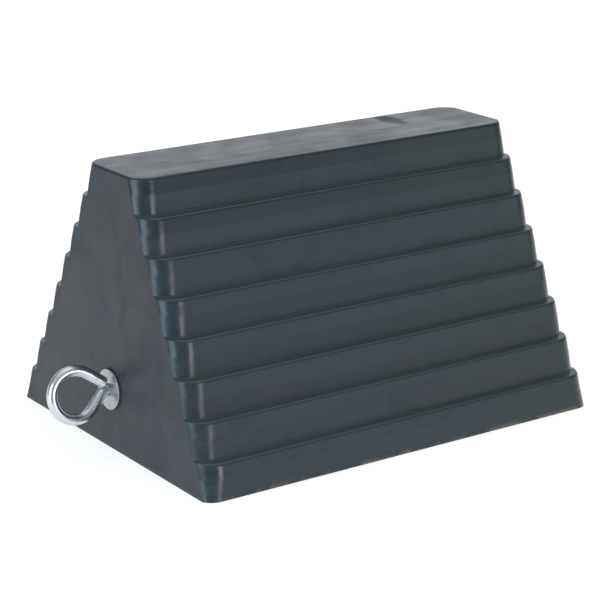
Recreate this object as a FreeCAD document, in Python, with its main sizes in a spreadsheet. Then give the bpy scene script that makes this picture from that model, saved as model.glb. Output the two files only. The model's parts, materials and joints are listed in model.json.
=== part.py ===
import FreeCAD, Part
import math
import os
import Sketcher

# Wheel chock: a stepped rubber block, hollow underneath, with an open eye bolt
# through one end wall.  Frame: origin at the centre of the base, +Z up, X along
# the length, the eye bolt on the -X end face, the stepped faces on +Y and -Y.

doc = FreeCAD.newDocument("wheel_chock")
vec = FreeCAD.Vector

# ---------------------------------------------------------------- dimensions
# alias, value in mm or degrees, what it is
DIMENSIONS = [
    ("base_length", 252.0, "length of the block at the floor"),
    ("base_width", 198.0, "width of the block at the floor"),
    ("tier_height", 18.75, "height of one tier, eight of them"),
    ("tier_step", 9.8, "how far each tier stands in from the one below, per side"),
    ("tier_draft", 3.6, "lean of a tier's long face, per side"),
    ("end_draft", 0.625, "lean of the end faces over one tier"),
    ("corner_radius", 12.0, "rounding of the tiers' upright corners"),
    ("trim_foot", 1.2, "how much the flat end cuts off a tier's foot"),
    ("trim_top", 0.3, "how much the flat end cuts off a tier's top"),
    ("top_edge_radius", 1.5, "rounding of the top face's edge"),
    ("web_half", 8.0, "half thickness of the middle web at the floor"),
    ("web_draft", 1.5, "how much thicker each side of the web gets at the roof"),
    ("end_wall", 34.0, "thickness of the end walls"),
    ("pocket_half_width", 60.0, "half width of a pocket at the floor"),
    ("pocket_roof_half", 14.3, "half width of a pocket at its roof"),
    ("pocket_depth", 95.0, "depth of a pocket"),
    ("pocket_corner", 8.0, "rounding of a pocket's upright corners"),
    ("pocket_roof_radius", 5.0, "rounding of a pocket's roof edge"),
    ("bolt_height", 32.5, "height of the bolt where it enters the end face"),
    ("bolt_offset", -1.5, "sideways place of the bolt"),
    ("bolt_hole", 6.2, "hole through the end wall"),
    ("wire_dia", 6.0, "bolt wire, plain part"),
    ("thread_dia", 5.35, "pitch diameter of the thread"),
    ("thread_start", 24.5, "where the thread starts, inward from the end face"),
    ("thread_past_nut", 3.0, "thread standing out of the nut"),
    ("thread_chamfer", 0.8, "chamfer at the thread's tip"),
    ("bend_start", 1.9, "end of the straight shank, outward from the end face"),
    ("bend_radius", 5.0, "centreline radius of the bend into the eye"),
    ("ring_radius", 12.9, "centreline radius of the eye"),
    ("ring_out", 21.5, "centre of the eye, outward from the end face"),
    ("ring_rise", 0.2, "centre of the eye above the shank"),
    ("ring_lean", 6.7, "lean of the eye's closing half, so its end clears the shank"),
    ("wire_end_back", 29.4, "cut end of the wire, back from the far side of the eye"),
    ("wire_end_rise", 4.4, "cut end of the wire, above the eye's centre"),
    ("eye_turn", 12.5, "turn of the eye about the bolt's axis"),
    ("washer_dia", 22.0, "outside diameter of the washers"),
    ("washer_hole", 6.4, "hole of the washers"),
    ("washer_thick", 1.5, "thickness of the washers"),
    ("nut_gap", 0.05, "running gap between nut and washer"),
    ("nut_flats", 10.0, "nut, across flats"),
    ("nut_hex_height", 4.4, "height of the nut's hexagon"),
    ("nut_collar_dia", 8.8, "collar that holds the locking ring"),
    ("nut_collar_height", 1.8, "height of the collar"),
    ("insert_dia", 7.4, "outside diameter of the locking ring"),
    ("insert_height", 1.4, "height of the locking ring"),
    ("nut_chamfer", 0.6, "chamfer of the nut's corners"),
]
TIERS = 8

sheet = doc.addObject("Spreadsheet::Sheet", "Dims")
sheet.Label = "Dims"
for row, (alias, value, note) in enumerate(DIMENSIONS, start=1):
    sheet.set("A%d" % row, alias)
    sheet.set("B%d" % row, str(value))
    sheet.set("C%d" % row, note)
    sheet.setAlias("B%d" % row, alias)
doc.recompute()
D = {alias: float(getattr(sheet, alias)) for alias, value, note in DIMENSIONS}


# ------------------------------------------------------------------- helpers
def bind(obj, **sizes):
    """Bind properties of obj to expressions of the sheet's cells."""
    for name, expression in sizes.items():
        obj.setExpression(name.replace("__", "."), expression)


def new_body(name):
    body = doc.addObject("PartDesign::Body", name)
    body.Label = name
    return body


def origin_plane(body, role):
    return [f for f in body.Origin.OriginFeatures if f.Role == role][0]


def new_sketch(body, name, role):
    sketch = body.newObject("Sketcher::SketchObject", name)
    sketch.AttachmentSupport = [(origin_plane(body, role), "")]
    sketch.MapMode = "FlatFace"
    return sketch


def size(sketch, name, kind, *where):
    """Add a dimension to a sketch and bind it to an expression."""
    *points, value, expression = where
    number = sketch.addConstraint(Sketcher.Constraint(kind, *points, value))
    sketch.renameConstraint(number, name)
    sketch.setExpression("Constraints." + name, expression)


def circle_sketch(body, name, role, dia, expression):
    """A sketch with one circle about its origin."""
    sketch = new_sketch(body, name, role)
    sketch.addGeometry(Part.Circle(vec(0, 0, 0), vec(0, 0, 1), dia / 2), False)
    sketch.addConstraint(Sketcher.Constraint("Coincident", 0, 3, -1, 1))
    size(sketch, name + "_dia", "Diameter", 0, dia, expression)
    return sketch


def edge_names(shape, wanted):
    return ["Edge%d" % n for n, edge in enumerate(shape.Edges, start=1) if wanted(edge)]


def lowest(edge):
    return min(v.Point.z for v in edge.Vertexes)


def rise_of(edge):
    return max(v.Point.z for v in edge.Vertexes) - lowest(edge)


def innermost(edge):
    """How far along the bolt, inward from the end face, an edge lies."""
    return -max(v.Point.x for v in edge.Vertexes)


def dress(kind, body, name, wanted, expression):
    """Fillet or chamfer the wanted edges of a body as it stands."""
    base = body.Tip
    edges = edge_names(base.Shape, wanted)
    feature = body.newObject("PartDesign::" + kind, name)
    feature.Base = (base, edges)
    feature.setExpression("Radius" if kind == "Fillet" else "Size", expression)
    doc.recompute()
    return feature


# ------------------------------------------------- the axis of the bolt
slope = math.atan2(D["end_draft"], D["tier_height"])
outward = vec(-math.cos(slope), 0, math.sin(slope))
upward = vec(math.sin(slope), 0, math.cos(slope))
entry = vec(-(D["base_length"] / 2 - D["bolt_height"] * math.tan(slope)), D["bolt_offset"],
            D["bolt_height"])
grip = D["end_wall"] * math.cos(slope)
# local X runs outward along the bolt, local Z up the end face
axis_turn = FreeCAD.Rotation(outward, upward.cross(outward), upward, "XZY")
on_axis = FreeCAD.Placement(entry, axis_turn)
turned_on_axis = on_axis.multiply(
    FreeCAD.Placement(vec(0, 0, 0), FreeCAD.Rotation(vec(1, 0, 0), D["eye_turn"])))

# ------------------------------------------------------------- rubber block
def wedge_solid(name, base_height, sizes):
    """A tapered block standing on base_height; sizes are expressions by property."""
    wedge = doc.addObject("Part::Wedge", name)
    wedge.Ymin = 0.0
    wedge.Placement = FreeCAD.Placement(vec(0, 0, 0), FreeCAD.Rotation(vec(1, 0, 0), 90))
    bind(wedge, Placement__Base__z=base_height, **sizes)
    doc.recompute()
    return wedge


def rounded(base, name, wanted, alias):
    """A Part::Fillet of the wanted edges of base, radius from the sheet."""
    feature = doc.addObject("Part::Fillet", name)
    feature.Base = base
    radius = D[alias]
    feature.Edges = [(n, radius, radius) for n, edge in enumerate(base.Shape.Edges, start=1)
                     if wanted(edge)]
    doc.recompute()
    return feature


half_length = "Dims.base_length / 2 - %d * Dims.end_draft"
half_width = "Dims.base_width / 2 - %d * Dims.tier_step"
top = TIERS * D["tier_height"]
tiers = []
for tier in range(TIERS):
    low = half_length % tier
    high = half_length % (tier + 1)
    wide = half_width % tier
    wedge = wedge_solid("tier_%d" % (tier + 1), "%d * Dims.tier_height" % tier, {
        "Ymax": "Dims.tier_height",
        "Xmax": low + " + Dims.trim_foot", "X2max": high + " + Dims.trim_top",
        "Zmax": wide, "Z2max": "%s - Dims.tier_draft" % wide,
        "Xmin": "-(%s + Dims.trim_foot)" % low, "X2min": "-(%s + Dims.trim_top)" % high,
        "Zmin": "-(%s)" % wide, "Z2min": "-(%s - Dims.tier_draft)" % wide})
    tiers.append(rounded(wedge, "tier_%d_rounded" % (tier + 1),
                         lambda e: rise_of(e) > D["tier_height"] / 2, "corner_radius"))
stack = doc.addObject("Part::MultiFuse", "stepped_block")
stack.Shapes = tiers
stack.Refine = True
doc.recompute()

# one flat leaning plane at each end cuts all the tiers, so their corners start at an edge
ends = wedge_solid("between_flat_ends", "0 * Dims.tier_height", {
    "Ymax": "%d * Dims.tier_height" % TIERS,
    "Xmax": half_length % 0, "X2max": half_length % TIERS,
    "Xmin": "-(%s)" % (half_length % 0), "X2min": "-(%s)" % (half_length % TIERS),
    "Zmax": "Dims.base_width", "Z2max": "Dims.base_width",
    "Zmin": "-Dims.base_width", "Z2min": "-Dims.base_width"})
trimmed = doc.addObject("Part::MultiCommon", "flat_ended_block")
trimmed.Shapes = [stack, ends]
trimmed.Refine = True
doc.recompute()
smooth = rounded(trimmed, "top_rounded", lambda e: lowest(e) > top - 0.01, "top_edge_radius")

# the two pockets of the underside, one each side of the middle web
inner = "Dims.web_half"
outer = "(Dims.base_length / 2 - Dims.end_wall)"
inner_roof = "(Dims.web_half + Dims.web_draft)"
outer_roof = "(%s - Dims.pocket_depth * Dims.end_draft / Dims.tier_height)" % outer
cavities = []
for side, name in ((1, "pocket_far"), (-1, "pocket_near")):
    lengths = {"Xmin": inner, "Xmax": outer, "X2min": inner_roof, "X2max": outer_roof}
    if side < 0:
        lengths = {"Xmin": "-" + outer, "Xmax": "-" + inner,
                   "X2min": "-" + outer_roof, "X2max": "-" + inner_roof}
    wedge = wedge_solid(name, "0 * Dims.pocket_depth", dict(
        lengths, Ymax="Dims.pocket_depth",
        Zmax="Dims.pocket_half_width", Zmin="-Dims.pocket_half_width",
        Z2max="Dims.pocket_roof_half", Z2min="-Dims.pocket_roof_half"))
    upright = rounded(wedge, name + "_corners",
                      lambda e: rise_of(e) > D["pocket_depth"] / 2, "pocket_corner")
    cavities.append(rounded(upright, name + "_roof",
                            lambda e: lowest(e) > D["pocket_depth"] - 0.01,
                            "pocket_roof_radius"))

hole = doc.addObject("Part::Cylinder", "bolt_passage")
bind(hole, Radius="Dims.bolt_hole / 2", Height="Dims.end_wall + 12")
hole.Placement = FreeCAD.Placement(entry + outward * 6,
                                   FreeCAD.Rotation(vec(0, 0, 1), outward * -1))
hollow = doc.addObject("Part::MultiFuse", "hollows")
hollow.Shapes = cavities + [hole]
block = doc.addObject("Part::Cut", "chock_body")
block.Label = "chock_body"
block.Base = smooth
block.Tool = hollow
doc.recompute()


# ------------------------------------------------------------------ washers
def washer(name, outer_face):
    """A flat washer; outer_face is how far out its outer face lies."""
    body = new_body(name)
    sketch = new_sketch(body, name + "_outline", "YZ_Plane")
    sketch.addGeometry(Part.Circle(vec(0, 0, 0), vec(0, 0, 1), D["washer_dia"] / 2), False)
    sketch.addGeometry(Part.Circle(vec(0, 0, 0), vec(0, 0, 1), D["washer_hole"] / 2), False)
    sketch.addConstraint(Sketcher.Constraint("Coincident", 0, 3, -1, 1))
    sketch.addConstraint(Sketcher.Constraint("Coincident", 1, 3, -1, 1))
    size(sketch, "outside", "Diameter", 0, D["washer_dia"], "Dims.washer_dia")
    size(sketch, "inside", "Diameter", 1, D["washer_hole"], "Dims.washer_hole")
    pad = body.newObject("PartDesign::Pad", name + "_pad")
    pad.Profile = sketch
    pad.Reversed = True
    bind(pad, Length="Dims.washer_thick")
    body.Placement = on_axis.multiply(
        FreeCAD.Placement(vec(outer_face, 0, 0), FreeCAD.Rotation()))
    doc.recompute()
    return body


outer_washer = washer("outer_washer", D["washer_thick"])
inner_washer = washer("inner_washer", -grip)

# ----------------------------------------------------------------- eye bolt
# the wire runs along local X from the thread, bends down, goes round the far
# side of the eye and comes back over the top towards the washer
nut_face = grip + D["washer_thick"] + D["nut_gap"]
nut_height = D["nut_hex_height"] + D["nut_collar_height"]
tip = nut_face + nut_height + D["thread_past_nut"]

eye = new_body("eye_bolt")
section = circle_sketch(eye, "wire_section", "YZ_Plane", D["wire_dia"], "Dims.wire_dia")
section.AttachmentOffset = FreeCAD.Placement(vec(0, 0, -D["thread_start"]), FreeCAD.Rotation())
bind(section, AttachmentOffset__Base__z="-Dims.thread_start")

centre = vec(D["ring_out"], D["ring_rise"], 0)
bend_centre = vec(D["bend_start"], -D["bend_radius"], 0)
between = centre - bend_centre
turn_down = math.asin((D["bend_radius"] + D["ring_radius"]) / between.Length)
leg_angle = math.atan2(between.y, between.x) - turn_down
leg_normal = vec(-math.sin(leg_angle), math.cos(leg_angle), 0)
leg_from = bend_centre + leg_normal * D["bend_radius"]
leg_to = centre - leg_normal * D["ring_radius"]

route = new_sketch(eye, "wire_route", "XZ_Plane")
route.addGeometry(Part.LineSegment(vec(-D["thread_start"], 0, 0), vec(D["bend_start"], 0, 0)), False)
route.addGeometry(Part.ArcOfCircle(Part.Circle(bend_centre, vec(0, 0, 1), D["bend_radius"]),
                                   leg_angle + math.pi / 2, math.pi / 2), False)
route.addGeometry(Part.LineSegment(leg_from, leg_to), False)
route.addGeometry(Part.ArcOfCircle(Part.Circle(centre, vec(0, 0, 1), D["ring_radius"]),
                                   leg_angle - math.pi / 2, 0), False)
route.addConstraint(Sketcher.Constraint("PointOnObject", 0, 1, -1))
route.addConstraint(Sketcher.Constraint("Horizontal", 0))
route.addConstraint(Sketcher.Constraint("Tangent", 0, 2, 1, 2))
route.addConstraint(Sketcher.Constraint("Tangent", 1, 1, 2, 1))
route.addConstraint(Sketcher.Constraint("Tangent", 2, 2, 3, 1))
route.addConstraint(Sketcher.Constraint("Horizontal", 3, 2, 3, 3))
size(route, "start", "DistanceX", 0, 1, -1, 1, D["thread_start"], "Dims.thread_start")
size(route, "bend_at", "DistanceX", -1, 1, 0, 2, D["bend_start"], "Dims.bend_start")
size(route, "bend", "Radius", 1, D["bend_radius"], "Dims.bend_radius")
size(route, "ring", "Radius", 3, D["ring_radius"], "Dims.ring_radius")
size(route, "ring_x", "DistanceX", -1, 1, 3, 3, D["ring_out"], "Dims.ring_out")
size(route, "ring_y", "DistanceY", -1, 1, 3, 3, D["ring_rise"], "Dims.ring_rise")
doc.recompute()

pipe = eye.newObject("PartDesign::AdditivePipe", "wire_to_far_side")
pipe.Profile = section
pipe.Spine = (route, ["Edge1", "Edge2", "Edge3", "Edge4"])
doc.recompute()

# the closing half starts at the eye's far side and leans out of its plane
far = vec(D["ring_out"] + D["ring_radius"], D["ring_rise"], 0)
end = vec(-D["wire_end_back"], D["wire_end_rise"], 0)
back_centre = vec(-D["ring_radius"], 0, 0)
to_centre = back_centre - end
end_angle = (math.atan2(to_centre.y, to_centre.x)
             + math.asin(D["ring_radius"] / to_centre.Length))
end_length = math.sqrt(to_centre.Length ** 2 - D["ring_radius"] ** 2)
leave = end + vec(math.cos(end_angle), math.sin(end_angle), 0) * end_length

closing = new_sketch(eye, "closing_route", "XZ_Plane")
closing.AttachmentOffset = FreeCAD.Placement(
    far, FreeCAD.Rotation(vec(0, 1, 0), -D["ring_lean"]))
bind(closing, AttachmentOffset__Base__x="Dims.ring_out + Dims.ring_radius",
     AttachmentOffset__Base__y="Dims.ring_rise")
closing.addGeometry(Part.ArcOfCircle(Part.Circle(back_centre, vec(0, 0, 1), D["ring_radius"]),
                                     0, end_angle + math.pi / 2), False)
closing.addGeometry(Part.LineSegment(leave, end), False)
closing.addConstraint(Sketcher.Constraint("Coincident", 0, 1, -1, 1))
closing.addConstraint(Sketcher.Constraint("PointOnObject", 0, 3, -1))
closing.addConstraint(Sketcher.Constraint("Tangent", 0, 2, 1, 1))
size(closing, "ring", "Radius", 0, D["ring_radius"], "Dims.ring_radius")
size(closing, "end_x", "DistanceX", 1, 2, -1, 1, D["wire_end_back"], "Dims.wire_end_back")
size(closing, "end_y", "DistanceY", -1, 1, 1, 2, D["wire_end_rise"], "Dims.wire_end_rise")

far_section = circle_sketch(eye, "far_section", "XY_Plane", D["wire_dia"], "Dims.wire_dia")
far_section.AttachmentOffset = FreeCAD.Placement(vec(far.x, 0, far.y), FreeCAD.Rotation())
bind(far_section, AttachmentOffset__Base__x="Dims.ring_out + Dims.ring_radius",
     AttachmentOffset__Base__z="Dims.ring_rise")
doc.recompute()

closing_pipe = eye.newObject("PartDesign::AdditivePipe", "wire_to_cut_end")
closing_pipe.Profile = far_section
closing_pipe.Spine = (closing, ["Edge1", "Edge2"])
doc.recompute()

# the thread, as a plain cylinder of its pitch diameter
thread = circle_sketch(eye, "thread_section", "YZ_Plane", D["thread_dia"], "Dims.thread_dia")
thread.AttachmentOffset = FreeCAD.Placement(vec(0, 0, -D["thread_start"]), FreeCAD.Rotation())
bind(thread, AttachmentOffset__Base__z="-Dims.thread_start")
thread_pad = eye.newObject("PartDesign::Pad", "thread_cylinder")
thread_pad.Profile = thread
thread_pad.Reversed = True
thread_pad.Length = tip - D["thread_start"]
bind(thread_pad, Length="Dims.end_wall * cos(atan(Dims.end_draft / Dims.tier_height))"
     " + Dims.washer_thick + Dims.nut_gap + Dims.nut_hex_height + Dims.nut_collar_height"
     " + Dims.thread_past_nut - Dims.thread_start")
doc.recompute()
dress("Chamfer", eye, "thread_point", lambda e: innermost(e) > tip - 0.01,
      "Dims.thread_chamfer")
eye.Placement = turned_on_axis
doc.recompute()


# ---------------------------------------------------------------------- nut
nut = new_body("lock_nut")
hexagon = new_sketch(nut, "hexagon", "YZ_Plane")
corner = D["nut_flats"] / math.sqrt(3)
points = [vec(corner * math.cos(math.radians(60 * k)), corner * math.sin(math.radians(60 * k)), 0)
          for k in range(6)]
for k in range(6):
    hexagon.addGeometry(Part.LineSegment(points[k], points[(k + 1) % 6]), False)
hexagon.addGeometry(Part.Circle(vec(0, 0, 0), vec(0, 0, 1), corner), True)
for k in range(6):
    hexagon.addConstraint(Sketcher.Constraint("Coincident", k, 2, (k + 1) % 6, 1))
    hexagon.addConstraint(Sketcher.Constraint("PointOnObject", k, 1, 6))
for k in range(5):
    hexagon.addConstraint(Sketcher.Constraint("Equal", k, k + 1))
hexagon.addConstraint(Sketcher.Constraint("Coincident", 6, 3, -1, 1))
hexagon.addConstraint(Sketcher.Constraint("PointOnObject", 0, 1, -1))
size(hexagon, "corner", "Radius", 6, corner, "Dims.nut_flats / sqrt(3)")
hexagon.AttachmentOffset = FreeCAD.Placement(vec(0, 0, -nut_face), FreeCAD.Rotation())
hex_pad = nut.newObject("PartDesign::Pad", "hexagon_pad")
hex_pad.Profile = hexagon
hex_pad.Reversed = True
bind(hex_pad, Length="Dims.nut_hex_height")
doc.recompute()
dress("Chamfer", nut, "hexagon_chamfer",
      lambda e: all(v.Point.x > -nut_face - 0.01 for v in e.Vertexes), "Dims.nut_chamfer / 2")

collar = circle_sketch(nut, "collar", "YZ_Plane", D["nut_collar_dia"], "Dims.nut_collar_dia")
collar.AttachmentOffset = FreeCAD.Placement(vec(0, 0, -nut_face - D["nut_hex_height"]),
                                            FreeCAD.Rotation())
collar_pad = nut.newObject("PartDesign::Pad", "collar_pad")
collar_pad.Profile = collar
collar_pad.Reversed = True
bind(collar_pad, Length="Dims.nut_collar_height")
doc.recompute()
dress("Fillet", nut, "collar_rounding", lambda e: innermost(e) > nut_face + nut_height - 0.01,
      "Dims.nut_chamfer")

bore = circle_sketch(nut, "nut_bore", "YZ_Plane", D["thread_dia"], "Dims.thread_dia")
bore.AttachmentOffset = FreeCAD.Placement(vec(0, 0, -nut_face), FreeCAD.Rotation())
bore_pocket = nut.newObject("PartDesign::Pocket", "nut_bore_cut")
bore_pocket.Profile = bore
bore_pocket.Type = "ThroughAll"
bore_pocket.Midplane = True
doc.recompute()

seat = circle_sketch(nut, "insert_seat", "YZ_Plane", D["insert_dia"], "Dims.insert_dia")
seat.AttachmentOffset = FreeCAD.Placement(vec(0, 0, -nut_face - nut_height), FreeCAD.Rotation())
seat_pocket = nut.newObject("PartDesign::Pocket", "insert_seat_cut")
seat_pocket.Profile = seat
seat_pocket.Reversed = True
bind(seat_pocket, Length="Dims.insert_height")
doc.recompute()
nut.Placement = turned_on_axis

ring = new_body("nut_insert")
ring_sketch = new_sketch(ring, "insert_outline", "YZ_Plane")
ring_sketch.addGeometry(Part.Circle(vec(0, 0, 0), vec(0, 0, 1), D["insert_dia"] / 2), False)
ring_sketch.addGeometry(Part.Circle(vec(0, 0, 0), vec(0, 0, 1), D["thread_dia"] / 2), False)
ring_sketch.addConstraint(Sketcher.Constraint("Coincident", 0, 3, -1, 1))
ring_sketch.addConstraint(Sketcher.Constraint("Coincident", 1, 3, -1, 1))
size(ring_sketch, "outside", "Diameter", 0, D["insert_dia"], "Dims.insert_dia")
size(ring_sketch, "inside", "Diameter", 1, D["thread_dia"], "Dims.thread_dia")
ring_sketch.AttachmentOffset = FreeCAD.Placement(vec(0, 0, -nut_face - nut_height),
                                                 FreeCAD.Rotation())
ring_pad = ring.newObject("PartDesign::Pad", "insert_pad")
ring_pad.Profile = ring_sketch
bind(ring_pad, Length="Dims.insert_height")
doc.recompute()
ring.Placement = turned_on_axis
doc.recompute()

# -------------------------------------------------------- checks and export
failed = [o.Name for o in doc.Objects if "Invalid" in o.State or "Error" in o.State]
if failed:
    raise SystemExit("failed objects: %s" % failed)

nodes = [block, eye, outer_washer, inner_washer, nut, ring]
for node in nodes:
    shape = node.Shape
    if shape.isNull() or not shape.isValid() or len(shape.Solids) != 1:
        raise SystemExit("bad shape: %s" % node.Label)

os.makedirs("parts", exist_ok=True)
for node in nodes:
    node.Shape.exportStep("parts/%s.step" % node.Label)
    box = node.Shape.BoundBox
    print("%-13s %9.1f mm3  x %.1f..%.1f  y %.1f..%.1f  z %.1f..%.1f"
          % (node.Label, node.Shape.Volume, box.XMin, box.XMax, box.YMin, box.YMax,
             box.ZMin, box.ZMax))
print("eye leg angle %.1f, closing leg %.1f long" % (math.degrees(-leg_angle), end_length))
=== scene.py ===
# %% [markdown]
# # A stepped rubber wheel chock
# The real thing is one heavy rubber moulding with an eye bolt through its end wall,
# held by two wide washers and a lock nut inside the hollow underside.
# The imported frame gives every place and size, so each piece here starts from it.

# %% Load the frame
import json
import math
import bmesh
import bpy
from mathutils import Matrix, Vector


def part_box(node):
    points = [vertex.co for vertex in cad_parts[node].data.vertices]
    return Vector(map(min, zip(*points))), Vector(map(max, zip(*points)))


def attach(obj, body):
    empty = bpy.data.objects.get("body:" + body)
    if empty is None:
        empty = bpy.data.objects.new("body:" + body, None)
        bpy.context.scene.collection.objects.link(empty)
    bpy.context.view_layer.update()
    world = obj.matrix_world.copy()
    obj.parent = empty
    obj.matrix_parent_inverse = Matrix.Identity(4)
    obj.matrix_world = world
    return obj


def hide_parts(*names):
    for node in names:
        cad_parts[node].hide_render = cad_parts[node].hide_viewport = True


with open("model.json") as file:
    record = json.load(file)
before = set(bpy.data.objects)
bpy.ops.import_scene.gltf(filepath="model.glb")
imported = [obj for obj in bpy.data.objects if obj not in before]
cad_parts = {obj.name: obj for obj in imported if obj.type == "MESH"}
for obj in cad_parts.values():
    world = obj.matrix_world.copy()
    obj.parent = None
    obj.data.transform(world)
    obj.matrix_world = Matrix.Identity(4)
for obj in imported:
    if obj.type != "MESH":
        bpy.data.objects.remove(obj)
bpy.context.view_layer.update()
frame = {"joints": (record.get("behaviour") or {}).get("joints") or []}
MM = 0.001

# %% [markdown]
# ## The camera
# A long lens from far away keeps the block's long edges nearly parallel, as a maker's
# catalogue picture does. The camera looks down a little at the end with the eye bolt.

# %% Set the camera
FOCAL_LENGTH = 124.3
CAMERA_PLACE = Vector((-0.6341, -0.9163, 0.4055))
LOOK_AT = Vector((0.0001, 0.0, 0.0567))

camera_data = bpy.data.cameras.new("catalogue_lens")
camera_data.lens = FOCAL_LENGTH
camera_data.sensor_width = 36.0
camera_data.clip_start = 0.05
camera_data.dof.use_dof = False
camera = bpy.data.objects.new("catalogue_camera", camera_data)
camera.location = CAMERA_PLACE
camera.rotation_euler = (LOOK_AT - CAMERA_PLACE).to_track_quat("-Z", "Y").to_euler()
bpy.context.scene.collection.objects.link(camera)
bpy.context.scene.camera = camera
print("camera", [round(v, 3) for v in camera.location])

# %% [markdown]
# ## Small helpers
# Every piece is made in a bmesh, then turned into an object that sits at the origin.
# Smooth shading with weighted normals keeps the flats flat and the small roundings soft.


# %% Turn a bmesh into an object
def finish_piece(name, bm, body, sharp=40.0):
    """Make the object, smooth it, keep flats flat, and let it ride on a body."""
    mesh = bpy.data.meshes.new(name)
    bm.to_mesh(mesh)
    bm.free()
    mesh.polygons.foreach_set("use_smooth", [True] * len(mesh.polygons))
    mesh.set_sharp_from_angle(angle=math.radians(sharp))
    piece = bpy.data.objects.new(name, mesh)
    bpy.context.scene.collection.objects.link(piece)
    weighted = piece.modifiers.new("keep_flats_flat", "WEIGHTED_NORMAL")
    weighted.keep_sharp = True
    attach(piece, body)
    print(name, len(mesh.vertices), "points,", len(mesh.polygons), "faces")
    return piece


def new_points(result):
    """The points that an operator has just made."""
    return [item for item in result["geom"] if isinstance(item, bmesh.types.BMVert)]


def new_edges(result):
    """The edges that an operator has just made."""
    return [item for item in result["geom"] if isinstance(item, bmesh.types.BMEdge)]


# %% Lay a round shape along X
def lay_along_x(bm, points):
    """Operators make round shapes about Z; the bolt's pieces lie along X."""
    quarter_turn = Matrix.Rotation(math.pi / 2, 3, "Y")
    bmesh.ops.rotate(bm, verts=points, cent=(0, 0, 0), matrix=quarter_turn)


# %% Cut or keep with another bmesh
def boolean(bm, tool_bm, operation):
    """Join, cut or intersect two closed bmeshes and return the result."""
    objects = []
    for label, source in (("work", bm), ("tool", tool_bm)):
        mesh = bpy.data.meshes.new(label)
        source.to_mesh(mesh)
        source.free()
        thing = bpy.data.objects.new(label, mesh)
        bpy.context.scene.collection.objects.link(thing)
        objects.append(thing)
    work, tool = objects
    cut = work.modifiers.new("cut", "BOOLEAN")
    cut.operation = operation
    cut.solver = "EXACT"
    cut.object = tool
    depsgraph = bpy.context.evaluated_depsgraph_get()
    made = bpy.data.meshes.new_from_object(work.evaluated_get(depsgraph))
    result = bmesh.new()
    result.from_mesh(made)
    for thing in objects:
        bpy.data.objects.remove(thing)
    bpy.data.meshes.remove(made)
    return result


# %% [markdown]
# ## The rubber block: its outline
# Seen from the end, the block is a stack of eight leaning steps. The outline is drawn as
# one chain of points for half the block, mirrored, and then its corners are rounded:
# a small round on each step's outer edge, a smaller hollow where it meets the next.
# Every step leans a little more in its upper part, which the light shows as two bands.
# Each point also keeps a note, its trim, of how much the flat ends cut off it later.

# %% Measure the block
low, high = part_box("chock_body")
HALF_LENGTH = high.x
HALF_WIDTH = high.y
HEIGHT = high.z
STEPS = 8
STEP_HEIGHT = HEIGHT / STEPS
STEP_IN = 9.8 * MM
LEAN = 3.6 * MM
KINK_LEAN = 0.48
KINK_HEIGHT = 0.56
END_LEAN = 5.0 * MM / HEIGHT
CORNER = 12.0 * MM
TRIM_FOOT = 1.2 * MM
TRIM_TOP = 0.3 * MM
HOLLOW_ROUND = 0.8
KINK_ROUND = 0.7
EDGE_ROUND = 1.25
FOOT_ROUND = 0.5
print("block", [round(v / MM, 1) for v in (HALF_LENGTH * 2, HALF_WIDTH * 2, HEIGHT)])


# %% Draw the stepped outline
def stepped_outline():
    """A closed face across the block, its edges rounded, at the -X end."""
    bm = bmesh.new()
    chain = [bm.verts.new((0, HALF_WIDTH, 0))]

    def go(across, up):
        made = bmesh.ops.extrude_vert_indiv(bm, verts=[chain[-1]])["verts"]
        bmesh.ops.translate(bm, verts=made, vec=(0, across, up))
        chain.extend(made)

    for step in range(STEPS):
        go(-LEAN * KINK_LEAN, STEP_HEIGHT * KINK_HEIGHT)
        go(-LEAN * (1 - KINK_LEAN), STEP_HEIGHT * (1 - KINK_HEIGHT))
        if step < STEPS - 1:
            go(LEAN - STEP_IN, 0)
    bmesh.ops.mirror(bm, geom=bm.verts[:] + bm.edges[:], axis="Y", merge_dist=0.1 * MM)
    ends = [v for v in bm.verts if len(v.link_edges) == 1]
    for level in (0.0, HEIGHT):
        pair = [v for v in ends if abs(v.co.z - level) < MM]
        bmesh.ops.contextual_create(bm, geom=pair)
    bmesh.ops.edgenet_fill(bm, edges=bm.edges[:])

    def level_of(vert):
        return vert.co.z / STEP_HEIGHT

    def half_width_at(vert):
        return HALF_WIDTH - round(level_of(vert)) * STEP_IN

    steps = [v for v in bm.verts if v.co.z > MM]
    hollow = [v for v in steps if abs(abs(v.co.y) - half_width_at(v)) < MM
              and level_of(v) < STEPS - 0.5]
    kink = [v for v in steps if 0.3 < level_of(v) % 1 < 0.8]
    outer = [v for v in steps if v not in hollow and v not in kink]
    foot = [v for v in bm.verts if v.co.z < MM]
    for points, radius, segments in ((hollow, HOLLOW_ROUND, 3), (kink, KINK_ROUND, 2),
                                     (outer, EDGE_ROUND, 4), (foot, FOOT_ROUND, 2)):
        bmesh.ops.bevel(bm, geom=points, offset=radius * MM, offset_type="OFFSET",
                        segments=segments, profile=0.5, affect="VERTICES", material=-1)
    trim = bm.verts.layers.float.new("trim")
    for vert in bm.verts:
        level = level_of(vert)
        if abs(level - round(level)) > 0.002:
            rise = level % 1
        else:
            inside = abs(vert.co.y) - half_width_at(vert)
            rise = 1.0 if inside > (STEP_IN - LEAN) / 2 else 0.0
        vert[trim] = TRIM_FOOT + (TRIM_TOP - TRIM_FOOT) * rise
    bmesh.ops.translate(bm, verts=bm.verts[:], vec=(-HALF_LENGTH, 0, 0))
    return bm


# %% [markdown]
# ## The rubber block: its length
# The outline is pulled along the length in short moves. Near each end every move also
# shifts the front and back halves of the outline, which draws the round upright corners.
# The steps stay flush with the end faces, as on the real moulding.


# %% Pull the outline along the block
CELLS = 48


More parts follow.
